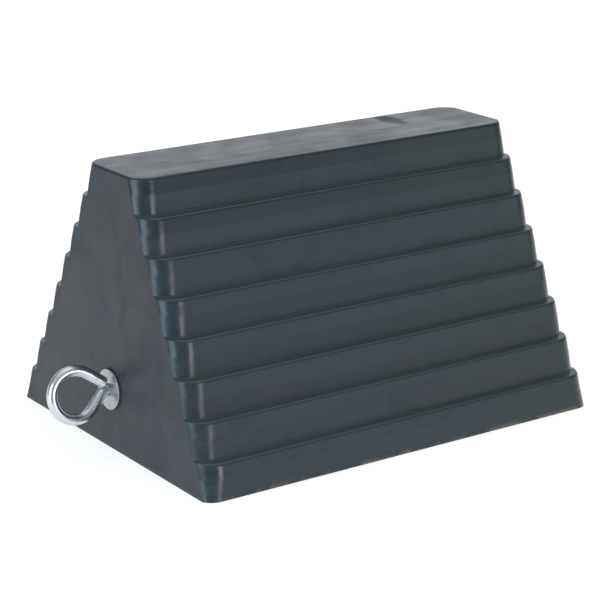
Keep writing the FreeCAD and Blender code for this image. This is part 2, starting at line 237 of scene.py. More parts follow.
def solid_block():
    """The block without its hollows, its upright corners round."""
    bm = stepped_outline()
    ring = bm.edges[:]
    front = [v for v in bm.verts if v.co.y < 0]
    back = [v for v in bm.verts if v.co.y > 0]
    bmesh.ops.translate(bm, verts=front, vec=(0, CORNER, 0))
    bmesh.ops.translate(bm, verts=back, vec=(0, -CORNER, 0))
    arc = [math.radians(9 * k) for k in range(11)]
    near = [(CORNER * (1 - math.cos(a)), CORNER * math.sin(a)) for a in arc]
    length = 2 * HALF_LENGTH
    run = [(CORNER + (length - 2 * CORNER) * k / CELLS, CORNER) for k in range(1, CELLS)]
    far = [(length - along, out) for along, out in reversed(near)]
    moves = near + run + far
    for (x0, out0), (x1, out1) in zip(moves, moves[1:]):
        made = bmesh.ops.extrude_edge_only(bm, edges=ring)
        points = new_points(made)
        ring = [e for e in new_edges(made) if all(v in points for v in e.verts)]
        bmesh.ops.translate(bm, verts=points, vec=(x1 - x0, 0, 0))
        for side in (1, -1):
            half = [v for v in points if v.co.y * side > 0]
            bmesh.ops.translate(bm, verts=half, vec=(0, side * (out1 - out0), 0))
    bmesh.ops.contextual_create(bm, geom=ring)
    return bm


# %% [markdown]
# ## The rubber block: corners cut by the flat ends
# Each step leans on all four sides, but one flat plate in the mould forms the whole end.
# It cuts a little off the round corners, more at a step's foot than at its top, so every
# corner starts at a soft edge. Each ring of points is slid round its corner to show that.


# %% Let the flat ends cut the corners
FOOT_CORNER = 9.5 * MM
FOOT_LEVEL = 4 * MM


def cut_corners(bm):
    """Slide the points near the ends round their corners, a tighter corner at the foot."""
    trim = bm.verts.layers.float["trim"]
    for vert in bm.verts:
        from_end = HALF_LENGTH - abs(vert.co.x)
        if from_end > CORNER + 0.01 * MM:
            continue
        rise = min(1.0, max(0.0, vert.co.z / FOOT_LEVEL))
        radius = FOOT_CORNER + (CORNER - FOOT_CORNER) * rise * (2 - rise)
        cut = vert[trim]
        old_turn = math.acos(max(0.0, 1 - from_end / CORNER))
        first_turn = math.acos(1 - cut / radius)
        turn = first_turn + old_turn / (math.pi / 2) * (math.pi / 2 - first_turn)
        wide = abs(vert.co.y) + CORNER * (1 - math.sin(old_turn))
        vert.co.x = math.copysign(HALF_LENGTH + cut - radius * (1 - math.cos(turn)), vert.co.x)
        vert.co.y = math.copysign(wide - radius * (1 - math.sin(turn)), vert.co.y)


# %% [markdown]
# ## The rubber block: top edges, leaning ends
# The end faces lean in by five millimetres over the height so that the block leaves its
# mould. Their top edges are rounded by pushing the nearest points onto a small circle.


# %% Lean the ends and round their top edges
TOP_ROUND = 1.4 * MM


def round_end_tops(bm):
    """Cut fine rows near the top edges of the ends and push them onto a circle."""
    for offset in (TOP_ROUND, TOP_ROUND * 0.62, TOP_ROUND * 0.29, TOP_ROUND * 0.08):
        plane_cuts = [((0, 0, HEIGHT - offset), (0, 0, 1))]
        plane_cuts += [((side * (HALF_LENGTH - offset), 0, 0), (1, 0, 0)) for side in (1, -1)]
        for place, normal in plane_cuts:
            bmesh.ops.bisect_plane(bm, geom=bm.verts[:] + bm.edges[:] + bm.faces[:],
                                   plane_co=place, plane_no=normal, dist=0.01 * MM)
    for vert in bm.verts:
        from_end = HALF_LENGTH - abs(vert.co.x)
        from_top = HEIGHT - vert.co.z
        if from_end < TOP_ROUND and from_top < TOP_ROUND:
            away = Vector((TOP_ROUND - from_end, TOP_ROUND - from_top))
            reach = max(away.x, away.y)
            away = away.normalized() * reach
            vert.co.x = math.copysign(HALF_LENGTH - TOP_ROUND + away.x, vert.co.x)
            vert.co.z = HEIGHT - TOP_ROUND + away.y


def lean_ends(bm):
    """Lean each end inwards, fading out towards the middle of the block."""
    straight = HALF_LENGTH * 0.5
    for vert in bm.verts:
        share = min(1.0, abs(vert.co.x) / straight)
        vert.co.x -= math.copysign(vert.co.z * END_LEAN * share, vert.co.x)


# %% [markdown]
# ## The hollow underside
# Such a block is hollow underneath to save rubber: two tapered pockets with a web between.
# Each pocket is a cube shaped into a tapered plug and cut away from the block. The plug
# starts below the floor, because a cut whose faces share a plane can come out closed.


# %% Make the plugs that cut the pockets
POCKET_DEPTH = 95.0 * MM
BELOW_FLOOR = 5.0 * MM
POCKET_END = 92.0 * MM
HALF_WEB = 8.0
WEB_TAPER = 1.5
POCKET_HALF_WIDTH = 60.0
POCKET_TAPER = 45.7


def pocket_plug(side):
    """A plug that tapers up to the pocket's roof and starts a little below the floor."""
    bm = bmesh.new()
    bmesh.ops.create_cube(bm, size=1.0)
    for vert in bm.verts:
        level = POCKET_DEPTH if vert.co.z > 0 else -BELOW_FLOOR
        part_way = level / POCKET_DEPTH
        if vert.co.x > 0:
            x = POCKET_END - level * END_LEAN
        else:
            x = (HALF_WEB + WEB_TAPER * part_way) * MM
        y = (POCKET_HALF_WIDTH - POCKET_TAPER * part_way) * MM
        vert.co = Vector((x * side, math.copysign(y, vert.co.y), level))
    bmesh.ops.recalc_face_normals(bm, faces=bm.faces[:])
    upright = [e for e in bm.edges if abs(e.verts[0].co.z - e.verts[1].co.z) > 50 * MM]
    bmesh.ops.bevel(bm, geom=upright, offset=8 * MM, offset_type="OFFSET", segments=6,
                    profile=0.5, affect="EDGES", material=-1)
    roof_edges = [e for e in bm.edges if all(v.co.z > POCKET_DEPTH - 0.1 * MM for v in e.verts)]
    bmesh.ops.bevel(bm, geom=roof_edges, offset=4 * MM, offset_type="OFFSET", segments=4,
                    profile=0.5, affect="EDGES", material=-1)
    bmesh.ops.recalc_face_normals(bm, faces=bm.faces[:])
    return bm


# %% [markdown]
# ## The bolt's own axes
# The bolt stands square on the leaning end face. The joint in the frame gives a point on
# its axis and the axis itself, so pieces are made lying along X and then set on it.

# %% Find the bolt's axis
swivel = frame["joints"][0]
ENTRY = Vector(swivel["pos_m"])
OUTWARD = Vector(swivel["axis"]).normalized()
SIDEWAYS = Vector((0, -1, 0))
UPWARD = OUTWARD.cross(SIDEWAYS)
on_axis = Matrix.Translation(ENTRY) @ Matrix((OUTWARD, SIDEWAYS, UPWARD)).transposed().to_4x4()
EYE_TURN = math.radians(12.5)
on_turned_axis = on_axis @ Matrix.Rotation(EYE_TURN, 4, "X")
print("bolt enters at", [round(v / MM, 1) for v in ENTRY])


# %% Put the block together
PASSAGE = 3.1 * MM


def bolt_passage():
    """A round rod through the end wall, to be cut away for the bolt."""
    bm = bmesh.new()
    bmesh.ops.create_cone(bm, segments=40, cap_ends=True, radius1=PASSAGE, radius2=PASSAGE,
                          depth=60 * MM)
    lay_along_x(bm, bm.verts[:])
    bmesh.ops.translate(bm, verts=bm.verts[:], vec=(-20 * MM, 0, 0))
    bmesh.ops.transform(bm, verts=bm.verts[:], matrix=on_axis)
    return bm


block_mesh = solid_block()
cut_corners(block_mesh)
round_end_tops(block_mesh)
lean_ends(block_mesh)
bmesh.ops.recalc_face_normals(block_mesh, faces=block_mesh.faces[:])
for side in (1, -1):
    block_mesh = boolean(block_mesh, pocket_plug(side), "DIFFERENCE")
block_mesh = boolean(block_mesh, bolt_passage(), "DIFFERENCE")
block = finish_piece("rubber_block", block_mesh, "chock", sharp=50)
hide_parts("chock_body")
print("pockets", round(POCKET_DEPTH / MM), "mm deep, passage", round(PASSAGE * 2 / MM, 1), "mm")


# %% [markdown]
# ## The washers
# Each washer is punched from sheet, so its outer edge is slightly rolled on one side.
# A small section is drawn beside the axis and spun once round it.


# %% Spin a washer
WASHER_THICK = 1.5 * MM
WASHER_BAND = 7.8 * MM
WASHER_MIDDLE = 7.1 * MM


def washer(name, inner_face):
    """A washer whose inner face lies at inner_face along the bolt's axis."""
    bm = bmesh.new()
    bmesh.ops.create_grid(bm, x_segments=1, y_segments=1, size=0.5)
    upright = Matrix.Rotation(math.pi / 2, 3, "X")
    bmesh.ops.rotate(bm, verts=bm.verts[:], cent=(0, 0, 0), matrix=upright)
    bmesh.ops.scale(bm, verts=bm.verts[:], vec=(WASHER_THICK, 1, WASHER_BAND))
    bmesh.ops.translate(bm, verts=bm.verts[:],
                        vec=(inner_face + WASHER_THICK / 2, 0, WASHER_MIDDLE))
    bmesh.ops.bevel(bm, geom=bm.verts[:], offset=0.3 * MM, offset_type="OFFSET", segments=3,
                    profile=0.5, affect="VERTICES", material=-1)
    section = bm.edges[:]
    bmesh.ops.delete(bm, geom=bm.faces[:], context="FACES_ONLY")
    bmesh.ops.spin(bm, geom=section, cent=(0, 0, 0), axis=(1, 0, 0), dvec=(0, 0, 0),
                   angle=2 * math.pi, steps=96, use_merge=True)
    bmesh.ops.remove_doubles(bm, verts=bm.verts[:], dist=0.01 * MM)
    bmesh.ops.recalc_face_normals(bm, faces=bm.faces[:])
    bmesh.ops.transform(bm, verts=bm.verts[:], matrix=on_axis)
    return finish_piece(name, bm, "chock")


END_WALL = 34.0 * MM
GRIP = END_WALL * -OUTWARD.x
front_washer = washer("front_washer", 0.0)
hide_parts("outer_washer")
pocket_washer = washer("pocket_washer", -GRIP - WASHER_THICK)
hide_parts("inner_washer")

# %% [markdown]
# ## The eye bolt
# One length of wire: straight through the rubber, a tight bend down, a straight leg, the
# round of the eye and a short leg back towards the washer, where the wire was cut off.
# A ring of edges is pulled along in small moves, as a bending tool would lead the wire.
# The bolt and its nut are drawn in millimetres along X, then scaled and set on the axis.

# %% Set the wire's sizes
WIRE = 3.0
WIRE_SEGMENTS = 40
BEND = 5.0
ROUND = 12.9
BEND_START = 1.9
THREAD_START = -24.5
EYE_CENTRE = Vector((21.5, 0, 0.2))
EYE_FAR = EYE_CENTRE + Vector((ROUND, 0, 0))
CUT_END = Vector((-29.4, 0, 4.4))
CLOSING_LEAN = math.radians(6.7)


def leg_angle():
    """How far the bend turns, so that the leg meets the eye's round without a kink."""
    between = EYE_CENTRE - Vector((BEND_START, 0, -BEND))
    return math.asin((BEND + ROUND) / between.length) - math.atan2(between.z, between.x)


def closing_leg():
    """The turn of the closing half and the length of its straight end."""
    between = Vector((-ROUND, 0, 0)) - CUT_END
    tilt = math.atan2(between.z, between.x) + math.asin(ROUND / between.length)
    return tilt + math.pi / 2, math.sqrt(between.length ** 2 - ROUND ** 2)


print("bend", round(math.degrees(leg_angle()), 1), "degrees")

# %% [markdown]
# The leader below keeps a note of how far along the wire each ring of points lies, and
# where round the wire each point is. The metal's drawn lines follow these two later.


# %% Lead a ring of edges along the wire
class WireLeader:
    """Leads a ring of edges through straight runs and bends, and closes it at the end."""

    def __init__(self, bm, start):
        self.bm = bm
        self.along = bm.verts.layers.float_vector.new("wire_flow")
        made = bmesh.ops.create_circle(bm, segments=WIRE_SEGMENTS, radius=WIRE, cap_ends=True)
        lay_along_x(bm, made["verts"])
        for vert in made["verts"]:
            vert[self.along] = (0, vert.co.y / WIRE, vert.co.z / WIRE)
        bmesh.ops.translate(bm, verts=made["verts"], vec=start)
        self.points = made["verts"]
        self.ring = list({e for v in self.points for e in v.link_edges})
        self.travelled = 0.0

    def pull(self, distance):
        """Grow the wire by one ring, still in the old ring's place."""
        made = bmesh.ops.extrude_edge_only(self.bm, edges=self.ring)
        self.points = new_points(made)
        self.ring = [e for e in new_edges(made) if all(v in self.points for v in e.verts)]
        self.travelled += distance
        for vert in self.points:
            flow = vert[self.along]
            vert[self.along] = (self.travelled, flow[1], flow[2])

    def straight(self, direction, length, moves):
        for _ in range(moves):
            self.pull(length / moves)
            bmesh.ops.translate(self.bm, verts=self.points, vec=direction * (length / moves))

    def bend(self, centre, axis, angle, radius, moves):
        turn = Matrix.Rotation(angle / moves, 3, axis)
        for _ in range(moves):
            self.pull(abs(angle) / moves * radius)
            bmesh.ops.rotate(self.bm, verts=self.points, cent=centre, matrix=turn)

    def cap(self, rounding, moves=4):
        """Close the wire with a slightly rounded cut face."""
        middle = sum((v.co for v in self.points), Vector()) / len(self.points)
        across = (self.points[0].co - middle).normalized()
        ahead = self.ring_normal(middle)
        for move in range(1, moves + 1):
            angle = math.pi / 2 * move / moves
            before = math.pi / 2 * (move - 1) / moves
            made = bmesh.ops.extrude_edge_only(self.bm, edges=self.ring)
            self.points = new_points(made)
            self.ring = [e for e in new_edges(made) if all(v in self.points for v in e.verts)]
            shrink = 1 - rounding / WIRE * (1 - math.cos(angle))
            rise = rounding * (math.sin(angle) - math.sin(before))
            last = 1 - rounding / WIRE * (1 - math.cos(before))
            for vert in self.points:
                vert.co = middle + (vert.co - middle) * (shrink / last) + ahead * rise
            middle = middle + ahead * rise
        bmesh.ops.contextual_create(self.bm, geom=self.ring)

    def ring_normal(self, middle):
        """The way the wire is heading at its last ring."""
        previous = [e.other_vert(v).co for v in self.points for e in v.link_edges
                    if e.other_vert(v) not in self.points]
        behind = sum(previous, Vector()) / len(previous)
        return (middle - behind).normalized()


# %% [markdown]
# ## The thread
# A thread is a saw-tooth line beside the axis, spun once round while it also moves along
# by one pitch. The line repeats every pitch, so the end of the turn meets its start.
# A slim cone under the turns is the bolt's core, and both ends of the thread are closed.


# %% Cut the thread
TOOTH_DEPTH = 0.52


def thread_turns(bm, start, length, outer, pitch=1.0, steps=40):
    """A helical surface along X from start, running towards -X."""
    root = outer - TOOTH_DEPTH
    tooth = [(0.0, outer), (0.125, outer), (0.45, root), (0.62, root)]
    turns = int(length / pitch)
    first = bm.verts.new((start, 0, tooth[0][1]))
    chain = [first]
    for turn in range(turns):
        for along, radius in tooth[1:] + [(1.0, outer)]:
            made = bmesh.ops.extrude_vert_indiv(bm, verts=[chain[-1]])["verts"]
            made[0].co = Vector((start - (turn + along) * pitch, 0, radius))
            chain.extend(made)
    line = list(dict.fromkeys(e for v in chain for e in v.link_edges))
    bmesh.ops.spin(bm, geom=chain + line, cent=(0, 0, 0), axis=(1, 0, 0),
                   dvec=(-pitch / steps, 0, 0), angle=2 * math.pi, steps=steps, use_merge=False)
    bmesh.ops.remove_doubles(bm, verts=bm.verts[:], dist=0.002)
    middle = start - length / 2
    rims = [e for e in bm.edges if e.is_boundary]
    for rim in ([e for e in rims if e.verts[0].co.x > middle],
                [e for e in rims if e.verts[0].co.x <= middle]):
        inner = new_points(bmesh.ops.extrude_edge_only(bm, edges=rim))
        heart = sum((v.co.x for v in inner), 0.0) / len(inner)
        bmesh.ops.pointmerge(bm, verts=inner, merge_co=(heart, 0, 0))
    return turns


# %% Make the bolt
NUT_GAP = 0.05
NUT_HEIGHT = 6.2
PAST_NUT = 3.0
TIP = -(GRIP / MM + WASHER_THICK / MM + NUT_GAP + NUT_HEIGHT + PAST_NUT)
CORE_TIP = 1.9
CORE_TOP = 2.46
THREAD_RADIUS = 2.95


def eye_bolt():
    """The bent wire from its shank to the cut end of the eye."""
    bm = bmesh.new()
    lead = WireLeader(bm, Vector((THREAD_START, 0, 0)))
    lead.straight(Vector((1, 0, 0)), BEND_START - THREAD_START, 8)
    turn = leg_angle()
    lead.bend(Vector((BEND_START, 0, -BEND)), "Y", turn, BEND, 10)
    leg_direction = Vector((math.cos(turn), 0, -math.sin(turn)))
    leg_normal = Vector((math.sin(turn), 0, math.cos(turn)))
    leg_from = Vector((BEND_START, 0, -BEND)) + leg_normal * BEND
    leg_to = EYE_CENTRE - leg_normal * ROUND
    lead.straight(leg_direction, (leg_to - leg_from).length, 6)
    lead.bend(EYE_CENTRE, "Y", -(math.pi / 2 + turn), ROUND, 44)
    lean = Matrix.Rotation(-CLOSING_LEAN, 3, "Z")
    closing_axis = lean @ Vector((0, 1, 0))
    toward = lean @ Vector((-1, 0, 0))
    closing_centre = EYE_FAR + toward * ROUND
    sweep, end_length = closing_leg()
    lead.bend(closing_centre, closing_axis, -sweep, ROUND, 44)
    rise = math.sin(sweep - math.pi / 2)
    end_direction = toward * math.cos(sweep - math.pi / 2) - Vector((0, 0, rise))
    lead.straight(end_direction, end_length, 5)
    lead.cap(0.5)
    return bm, lead


bolt_mesh, leader = eye_bolt()
thread_length = THREAD_START - TIP
turns = thread_turns(bolt_mesh, THREAD_START + 0.6, thread_length - 1.2, THREAD_RADIUS)
print("thread turns", turns, "wire length", round(leader.travelled, 1))
core = bmesh.ops.create_cone(bolt_mesh, segments=WIRE_SEGMENTS, cap_ends=True,
                             radius1=CORE_TIP, radius2=CORE_TOP, depth=thread_length)
lay_along_x(bolt_mesh, core["verts"])
bmesh.ops.translate(bolt_mesh, verts=core["verts"], vec=((TIP + THREAD_START) / 2, 0, 0))
bmesh.ops.scale(bolt_mesh, verts=bolt_mesh.verts[:], vec=(MM, MM, MM))
bmesh.ops.remove_doubles(bolt_mesh, verts=bolt_mesh.verts[:], dist=0.002 * MM)
bmesh.ops.transform(bolt_mesh, verts=bolt_mesh.verts[:], matrix=on_turned_axis)
bmesh.ops.recalc_face_normals(bolt_mesh, faces=bolt_mesh.faces[:])
bolt = finish_piece("eye_wire", bolt_mesh, "eye")
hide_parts("eye_bolt")

# %% [markdown]
# ## The lock nut
# A hexagon is pulled out to a prism, and what lies inside a spun barrel shape is kept, so
# its corners get the curved chamfers of a real nut. A collar on top grips a nylon ring.

# %% Make the nut
NUT_FACE = -(GRIP / MM + WASHER_THICK / MM + NUT_GAP)
HEX_HEIGHT = 4.4
ACROSS_FLATS = 10.0
CHAMFER = 4.61
BARREL = 5.8
COLLAR = 4.4
BORE = 2.7
RING_SEAT = 3.7


def spun(points, steps=72, twist=0.0):
    """A closed solid or ring made by spinning a chain of (along, radius) points round X.

    The twist in degrees keeps the corners of solids that cut each other from coinciding.
    """
    bm = bmesh.new()
    chain = [bm.verts.new((points[0][0], 0, points[0][1]))]
    for along, radius in points[1:]:
        made = bmesh.ops.extrude_vert_indiv(bm, verts=[chain[-1]])["verts"]
        made[0].co = Vector((along, 0, radius))
        chain.extend(made)
    bmesh.ops.spin(bm, geom=bm.verts[:] + bm.edges[:], cent=(0, 0, 0), axis=(1, 0, 0),
                   dvec=(0, 0, 0), angle=2 * math.pi, steps=steps, use_merge=True)
    bmesh.ops.remove_doubles(bm, verts=bm.verts[:], dist=0.001)
    bmesh.ops.rotate(bm, verts=bm.verts[:], cent=(0, 0, 0),
                     matrix=Matrix.Rotation(math.radians(twist), 3, "X"))
    bmesh.ops.recalc_face_normals(bm, faces=bm.faces[:])
    return bm


def lock_nut():
    """A chamfered hexagon with a collar, bored through and seated for the nylon ring."""
    bm = bmesh.new()
    made = bmesh.ops.create_circle(bm, segments=6, radius=ACROSS_FLATS / math.sqrt(3),
                                   cap_ends=True)
    lay_along_x(bm, made["verts"])
    bmesh.ops.translate(bm, verts=made["verts"], vec=(NUT_FACE, 0, 0))
    raised = bmesh.ops.extrude_face_region(bm, geom=bm.faces[:])
    bmesh.ops.translate(bm, verts=new_points(raised), vec=(-HEX_HEIGHT, 0, 0))
    bmesh.ops.recalc_face_normals(bm, faces=bm.faces[:])
    face, top = NUT_FACE, NUT_FACE - HEX_HEIGHT
    barrel = spun([(face + 0.2, 0), (face + 0.2, CHAMFER), (face - 0.5, BARREL),
                   (top + 0.5, BARREL), (top - 0.2, CHAMFER), (top - 0.2, 0)], twist=1.3)
    bm = boolean(bm, barrel, "INTERSECT")
    end = NUT_FACE - NUT_HEIGHT
    collar = spun([(top + 0.2, 0), (top + 0.2, COLLAR), (end + 0.7, COLLAR),
                   (end + 0.25, 4.3), (end + 0.05, 4.05), (end, 3.75), (end, 0)], twist=2.9)
    bm = boolean(bm, collar, "UNION")
    bore = spun([(face + 1, 0), (face + 1, BORE), (end + 1.5, BORE), (end + 1.5, RING_SEAT),
                 (end - 1, RING_SEAT), (end - 1, 0)], twist=4.1)
    bm = boolean(bm, bore, "DIFFERENCE")
    soft = [e for e in bm.edges if len(e.link_faces) == 2 and e.calc_face_angle(0) > 0.9
            and max(v.co.yz.length for v in e.verts) > 4.0]
    bmesh.ops.bevel(bm, geom=soft, offset=0.12, offset_type="OFFSET", segments=2, profile=0.5,
                    affect="EDGES", material=-1)
    bmesh.ops.scale(bm, verts=bm.verts[:], vec=(MM, MM, MM))
    bmesh.ops.transform(bm, verts=bm.verts[:], matrix=on_turned_axis)
    return bm


nut = finish_piece("pocket_lock_nut", lock_nut(), "eye", sharp=30)
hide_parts("lock_nut")

# %% [markdown]
# ## The nylon ring in the nut
# It bulges a little past the collar where the metal is rolled over it.

# %% Make the nylon ring
end = NUT_FACE - NUT_HEIGHT
ring_mesh = spun([(end + 1.4, BORE), (end + 1.4, 3.65), (end + 0.25, 3.65),
                  (end + 0.08, 3.45), (end + 0.02, 3.1), (end + 0.1, 2.8), (end + 0.3, BORE),
                  (end + 1.4, BORE)])
bmesh.ops.scale(ring_mesh, verts=ring_mesh.verts[:], vec=(MM, MM, MM))
bmesh.ops.transform(ring_mesh, verts=ring_mesh.verts[:], matrix=on_turned_axis)
nylon_ring = finish_piece("nylon_ring", ring_mesh, "eye")
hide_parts("nut_insert")


# %% [markdown]
# ## A small kit for finishes
# A finish is a few patterns that drive colour, roughness and bump. Patterns read each
# piece's Object coordinates, so they stay put on the piece when it moves.


# %% Helpers that build a finish
class Finish:
    """One material, with short names for the nodes that the pieces need."""

    def __init__(self, name):
        self.material = bpy.data.materials.new(name)
        self.material.use_nodes = True
        self.tree = self.material.node_tree
        self.tree.nodes.clear()
        self.shader = self.node("ShaderNodeBsdfPrincipled")
        output = self.node("ShaderNodeOutputMaterial")
        self.link(self.shader.outputs["BSDF"], output.inputs["Surface"])
        self.place = self.node("ShaderNodeTexCoord").outputs["Object"]

    def node(self, kind, **settings):
        made = self.tree.nodes.new(kind)
        for key, value in settings.items():
            setattr(made, key, value)
        return made

    def link(self, source, target):
        self.tree.links.new(source, target)

    def stretched(self, scale, source=None, place=(0, 0, 0)):
        """A pattern's place, drawn out or moved on the piece."""
        mapping = self.node("ShaderNodeMapping")
        mapping.inputs["Scale"].default_value = scale
        mapping.inputs["Location"].default_value = place
        self.link(source or self.place, mapping.inputs["Vector"])
        return mapping.outputs["Vector"]

    def noise(self, scale, detail=3.0, rough=0.55, source=None, warp=0.0):
        made = self.node("ShaderNodeTexNoise")
        made.inputs["Scale"].default_value = scale
        made.inputs["Detail"].default_value = detail
        made.inputs["Roughness"].default_value = rough
        made.inputs["Distortion"].default_value = warp
        self.link(source or self.place, made.inputs["Vector"])
        return made.outputs["Fac"]

    def spots(self, scale):
        """Distance to scattered points: small near each point."""
        made = self.node("ShaderNodeTexVoronoi")
        made.inputs["Scale"].default_value = scale
        self.link(self.place, made.inputs["Vector"])
        return made.outputs["Distance"]

    def remap(self, value, low, high, to_low=0.0, to_high=1.0):
        """A soft step from to_low to to_high as the value goes from low to high."""
        made = self.node("ShaderNodeMapRange")
        made.interpolation_type = "SMOOTHSTEP"
        for key, number in (("From Min", low), ("From Max", high),
                            ("To Min", to_low), ("To Max", to_high)):
            made.inputs[key].default_value = number
        self.link(value, made.inputs["Value"])
        return made.outputs["Result"]

    def math(self, operation, *values):
        made = self.node("ShaderNodeMath", operation=operation)
        for slot, value in zip(made.inputs, values):
            if isinstance(value, (int, float)):
                slot.default_value = value
            else:
                self.link(value, slot)
        return made.outputs[0]

    def colour(self, mask, first, second):
        """Blend two colours; either may be a colour or another node's output."""
        made = self.node("ShaderNodeMix", data_type="RGBA")
        self.link(mask, made.inputs["Factor"])
        for slot, value in ((made.inputs[6], first), (made.inputs[7], second)):
            if isinstance(value, tuple):
                slot.default_value = (*value, 1.0)
            else:
                self.link(value, slot)
        return made.outputs[2]

    def bump(self, height, distance, strength=1.0, under=None):
        """Relief of the given height in metres, laid over the relief under it."""
        made = self.node("ShaderNodeBump")
        made.inputs["Strength"].default_value = strength
        made.inputs["Distance"].default_value = distance
        self.link(height, made.inputs["Height"])
        if under is not None:
            self.link(under, made.inputs["Normal"])
        return made.outputs["Normal"]

    def axis(self, name, source=None):
        made = self.node("ShaderNodeSeparateXYZ")
        self.link(source or self.place, made.inputs[0])
        return made.outputs[name]

    def put(self, piece):
        piece.data.materials.clear()
        piece.data.materials.append(self.material)


# %% [markdown]
# ## The rubber
# Moulded black rubber is a dark slate grey with a soft sheen. The mould leaves faint lines
# along the block, and the colour drifts between cool and warm. A few noises are enough
# for that: one slow, two drawn out along the block and one in blotches.

# %% Draw the rubber's patterns
rubber = Finish("moulded_rubber")
drift = rubber.noise(14.0, 3.0, 0.5, warp=0.4)
streaks = rubber.noise(1.0, 4.0, 0.6, source=rubber.stretched((4.0, 150.0, 150.0)))
fine_streaks = rubber.noise(1.0, 2.0, 0.5, source=rubber.stretched((14.0, 700.0, 700.0)))
blotch = rubber.noise(38.0, 4.0, 0.6, warp=0.8)

facing = rubber.node("ShaderNodeNewGeometry").outputs["True Normal"]
long_side = rubber.remap(rubber.math("ABSOLUTE", rubber.axis("Y", facing)), 0.6, 0.95)
end_side = rubber.remap(rubber.math("ABSOLUTE", rubber.axis("X", facing)), 0.975, 0.997)
top_side = rubber.remap(rubber.axis("Z", facing), 0.6, 0.95)
print("rubber patterns", len(rubber.tree.nodes), "nodes")

# %% [markdown]
# ## The rubber: its colour
# The upper part of each step gets painted shade, a touch darker than the lower part. The end faces
# get painted shade too, with soft brown patches, and the treads of the steps get painted light
# that makes them paler. Each mask tells which faces or levels a tone is laid on.

# %% Colour the rubber
height = rubber.axis("Z")
# Painted shade: this mask marks the upper part of each step on the long sides, which is coloured
# darker.
within_step = rubber.math("FRACT", rubber.math("DIVIDE", height, STEP_HEIGHT))
wander = rubber.math("MULTIPLY", rubber.math("SUBTRACT", streaks, 0.5), 0.10)
within_step = rubber.math("ADD", within_step, wander)
painted_shade_upper_band = rubber.remap(within_step, 0.52, 0.58)
painted_shade_upper_band = rubber.math("MULTIPLY", painted_shade_upper_band, rubber.remap(height, 0.100, 0.125, 0.12, 1.0))
painted_shade_upper_band = rubber.math("MULTIPLY", painted_shade_upper_band, long_side)

tone = rubber.colour(rubber.remap(drift, 0.35, 0.68), (0.022, 0.036, 0.047), (0.024, 0.035, 0.043))
# Painted shade: the end faces get a darker base colour than the long sides.
tone = rubber.colour(rubber.math("MULTIPLY", end_side, 0.55), tone, (0.011, 0.015, 0.021))
outer_end = rubber.remap(rubber.math("ABSOLUTE", rubber.axis("X")), 0.112, 0.117)
brown = rubber.math("MULTIPLY", rubber.remap(drift, 0.40, 0.68), end_side)
brown = rubber.math("MULTIPLY", brown, outer_end)
tone = rubber.colour(rubber.math("MULTIPLY", brown, 0.65), tone, (0.030, 0.023, 0.023))
tone = rubber.colour(rubber.remap(streaks, 0.42, 0.72, 0.0, 0.65), tone, (0.033, 0.048, 0.059))
tone = rubber.colour(rubber.remap(blotch, 0.53, 0.75, 0.0, 0.55), tone, (0.014, 0.023, 0.029))
# Painted shade: the upper part of each step is coloured darker.
tone = rubber.colour(rubber.math("MULTIPLY", painted_shade_upper_band, 0.5), tone, (0.010, 0.017, 0.022))
far_half = rubber.math("MULTIPLY", rubber.remap(rubber.axis("X"), -0.03, 0.10), long_side)
tone = rubber.colour(rubber.math("MULTIPLY", far_half, 0.5), tone, (0.026, 0.038, 0.041))
# Painted light: the treads between the steps are coloured paler than the rest of the rubber.
painted_light_on_treads = rubber.math("MULTIPLY", top_side, rubber.remap(height, 0.140, 0.146, 1.0, 0.0))
tone = rubber.colour(painted_light_on_treads, tone, (0.050, 0.068, 0.072))
print("rubber with its colours", len(rubber.tree.nodes), "nodes")

# %% [markdown]
# ## The rubber: dirt
# One dark thumb-sized smudge lies on the flat top, pale specks of dust sit in a few
# areas, and sandy grit sticks to the lowest three millimetres of the sides.

# %% Dirty the rubber
smudge_place = rubber.stretched((1.7, 0.8, 1.0), place=(-0.118, -0.011, -0.150))
smudge_reach = rubber.node("ShaderNodeVectorMath", operation="LENGTH")
rubber.link(smudge_place, smudge_reach.inputs[0])
smudge_edge = rubber.math("MULTIPLY", rubber.noise(130.0, 3.0, 0.6), 0.012)
smudge_edge = rubber.math("ADD", smudge_reach.outputs["Value"], smudge_edge)
smudge = rubber.remap(smudge_edge, 0.012, 0.019, 0.85, 0.0)
tone = rubber.colour(smudge, tone, (0.006, 0.010, 0.014))

dust = rubber.remap(rubber.spots(210.0), 0.035, 0.07, 1.0, 0.0)
dust_areas = rubber.remap(rubber.noise(60.0, 2.0), 0.56, 0.66)
tone = rubber.colour(rubber.math("MULTIPLY", dust, dust_areas), tone, (0.16, 0.155, 0.145))
underside = rubber.remap(rubber.axis("Z", facing), -0.9, -0.5, 1.0, 0.0)
grit_edge = rubber.remap(height, 0.0006, 0.0030, 1.0, 0.0)
grit = rubber.math("MULTIPLY", grit_edge, rubber.remap(blotch, 0.46, 0.6))
grit = rubber.math("MULTIPLY", grit, rubber.remap(underside, 0.0, 1.0, 1.0, 0.12))
grit = rubber.math("MULTIPLY", grit, rubber.remap(end_side, 0.0, 1.0, 0.7, 0.15))
tone = rubber.colour(grit, tone, (0.15, 0.125, 0.10))
rubber.link(tone, rubber.shader.inputs["Base Color"])
print("rubber with its dirt", len(rubber.tree.nodes), "nodes")

# %% [markdown]
# ## The rubber: sheen and relief
# The sides are the smoothest, the top and the ends are duller, and the smudge is dullest.
# The relief is shallow: a slow wave, the mould's lines and a fine grain.

